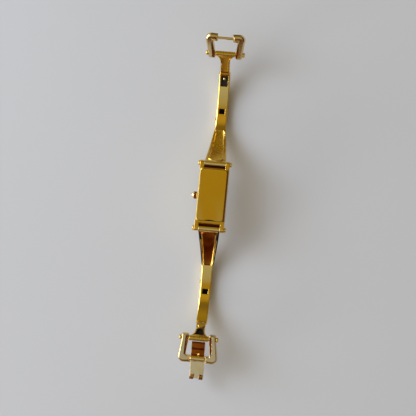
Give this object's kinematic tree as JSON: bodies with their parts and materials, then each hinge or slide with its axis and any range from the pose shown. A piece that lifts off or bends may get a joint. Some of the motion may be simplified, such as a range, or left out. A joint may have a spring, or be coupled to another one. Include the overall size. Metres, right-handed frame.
{
  "type": "wristwatch",
  "caption": "Slim ladies' bangle watch lying open: narrow case with two hinged hollow arms, sliding ends, stirrups and a hook latch.",
  "frame": {"origin": "on the outer face of the case back, midway between the two case hinges", "axes": "+Z out of the case back (towards the wrist), +Y to the 12 o'clock end, crown on the -X side"},
  "size_m": [0.0173, 0.1469, 0.0216],
  "materials": {
    "gold": "polished yellow gold plate",
    "pale_gold": "polished pale gold plate",
    "steel": "brushed, nickel plated",
    "black_steel": "blackened",
    "rubber": "matte",
    "crystal": "clear, polished",
    "dial": "satin ivory lacquer",
    "hand_black": "gloss black",
    "holder": "moulded",
    "board": "solder resist",
    "copper": "enamelled copper wire"
  },
  "bodies": {
    "case": {"case_body": "gold", "case_back": "gold", "case_back_gasket": "rubber", "crystal": "crystal", "crystal_gasket": "rubber", "dial": "dial", "movement_holder": "holder", "main_plate": "steel", "train_bridge": "steel", "left_bridge_screw": "steel", "right_bridge_screw": "steel", "circuit_board": "board", "coil": "copper", "button_cell": "steel", "cell_clamp": "steel", "crown_tube": "gold", "upper_case_bar": "gold", "upper_case_screw": "gold", "lower_case_bar": "gold", "lower_case_screw": "gold"},
    "hour": {"hour_hand": "hand_black"},
    "minute": {"minute_hand": "hand_black"},
    "setting": {"setting_lever": "steel"},
    "winder": {"crown": "gold", "crown_stem": "steel", "crown_gasket": "rubber"},
    "upper_half": {"upper_arm": "gold", "upper_stop_pin": "gold"},
    "upper_slide": {"upper_slider": "gold", "upper_catch_spring": "black_steel"},
    "upper_catch": {"upper_catch_button": "pale_gold"},
    "upper_stirrup": {"upper_left_link": "gold", "upper_right_link": "gold", "upper_cross_bar": "pale_gold", "upper_end_bar": "gold", "upper_end_screw": "gold"},
    "lower_half": {"lower_arm": "gold", "lower_stop_pin": "gold"},
    "lower_slide": {"lower_slider": "gold"},
    "lower_catch": {"lower_catch_tab": "pale_gold"},
    "lower_stirrup": {"lower_left_link": "gold", "lower_right_link": "gold", "lower_cross_bar": "pale_gold", "lower_end_bar": "gold", "lower_end_screw": "gold"},
    "clasp": {"latch": "pale_gold", "latch_tail": "pale_gold", "latch_rivet": "gold"}
  },
  "joints": [
    {"name": "upper_case_hinge", "type": "hinge", "parent": "case", "child": "upper_half", "pos_m": [0, 0.01395, -0.0016], "axis": [1, 0, 0], "range_deg": [0, 91.5]},
    {"name": "lower_case_hinge", "type": "hinge", "parent": "case", "child": "lower_half", "pos_m": [0, -0.01395, -0.0016], "axis": [-1, 0, 0], "range_deg": [0, 91.5]},
    {"name": "upper_size_slide", "type": "hinge", "parent": "upper_half", "child": "upper_slide", "pos_m": [0, 0.03759, 0.01687], "axis": [1, 0, 0], "range_deg": [-4, 0]},
    {"name": "lower_size_slide", "type": "hinge", "parent": "lower_half", "child": "lower_slide", "pos_m": [0, -0.03759, 0.01687], "axis": [-1, 0, 0], "range_deg": [0, 4]},
    {"name": "upper_catch_press", "type": "slide", "parent": "upper_slide", "child": "upper_catch", "axis": [0, 0.4756, -0.8796], "range_m": [0, 0.00035], "stiffness_N_per_m": 500},
    {"name": "lower_catch_press", "type": "slide", "parent": "lower_slide", "child": "lower_catch", "axis": [0, -0.5906, -0.807], "range_m": [0, 0.00035], "stiffness_N_per_m": 500},
    {"name": "upper_stirrup_hinge", "type": "hinge", "parent": "upper_slide", "child": "upper_stirrup", "pos_m": [0, 0.06123, -0.0016], "axis": [1, 0, 0], "range_deg": [-100, 65]},
    {"name": "lower_stirrup_hinge", "type": "hinge", "parent": "lower_slide", "child": "lower_stirrup", "pos_m": [0, -0.06057, -0.00241], "axis": [-1, 0, 0], "range_deg": [0, 132]},
    {"name": "latch_hinge", "type": "hinge", "parent": "lower_stirrup", "child": "clasp", "pos_m": [0, -0.06917, -0.00472], "axis": [1, 0, 0], "range_deg": [0, 95]},
    {"name": "crown_pull", "type": "slide", "parent": "case", "child": "setting", "axis": [-1, 0, 0], "range_m": [0, 0.0006]},
    {"name": "crown_turn", "type": "hinge", "parent": "setting", "child": "winder", "pos_m": [-0.0065, 0, -0.003], "axis": [-1, 0, 0], "continuous": true},
    {"name": "minute_turn", "type": "hinge", "parent": "case", "child": "minute", "pos_m": [0, 0, 0], "axis": [0, 0, 1], "continuous": true},
    {"name": "hour_turn", "type": "hinge", "parent": "case", "child": "hour", "pos_m": [0, 0, 0], "axis": [0, 0, 1], "continuous": true}
  ],
  "couplings": [
    {"joint": "hour_turn", "follows": "minute_turn", "ratio": 0.083333}
  ]
}
